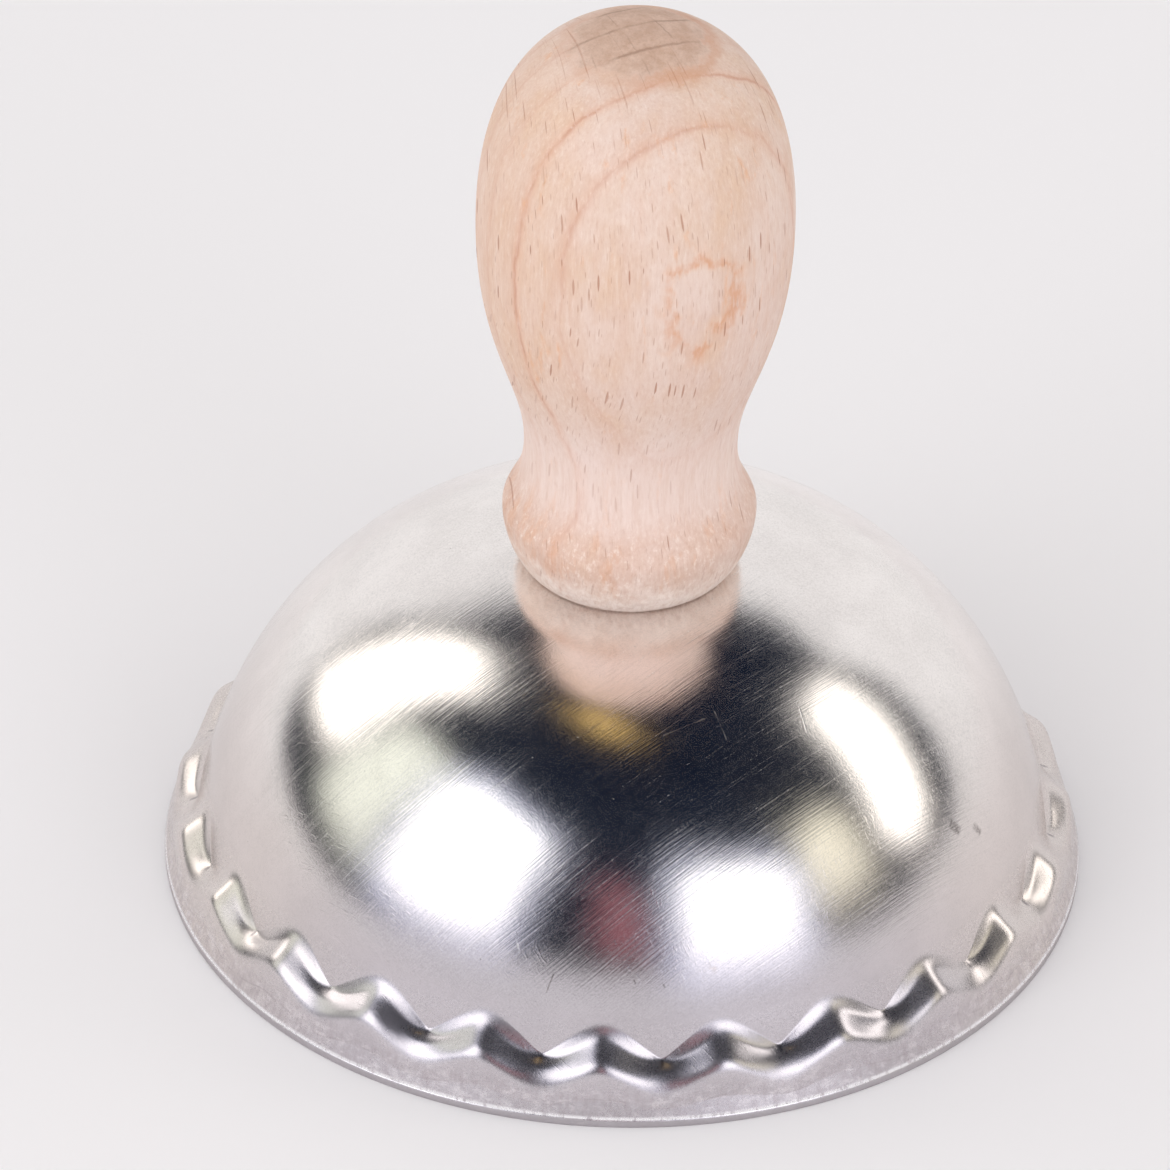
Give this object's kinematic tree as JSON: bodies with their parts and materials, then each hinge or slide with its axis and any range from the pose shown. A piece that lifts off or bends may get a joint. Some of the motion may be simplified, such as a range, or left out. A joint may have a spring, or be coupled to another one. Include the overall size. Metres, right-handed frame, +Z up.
{
  "type": "sanctus bell",
  "caption": "Small hand bell: a low domed sheet shell with a crimped scalloped shoulder, a turned wooden handle and a swinging clapper.",
  "frame": {"origin": "centre of the rim, on the surface that the bell stands on", "axes": "+Z up along the handle; +Y along the clapper's hinge pin; +X across it, the way the clapper swings"},
  "size_m": [0.1, 0.1, 0.1044],
  "materials": {
    "shell_metal": "satin brushed",
    "beech": "unvarnished, sanded",
    "leather": "matte",
    "steel": "turned, zinc plated",
    "brass": "turned"
  },
  "bodies": {
    "bell": {"handle": "beech", "bell_shell": "shell_metal", "crown_washer": "leather", "crown_stud": "steel", "clapper_pin": "steel", "pin_spacers": "brass"},
    "clapper": {"clapper_rod": "steel", "clapper_ball": "brass", "ball_lock_nut": "brass"}
  },
  "joints": [
    {"name": "clapper_swing", "type": "hinge", "parent": "bell", "child": "clapper", "pos_m": [0, 0, 0.0325], "axis": [0, 1, 0], "range_deg": [-74, 74]}
  ]
}
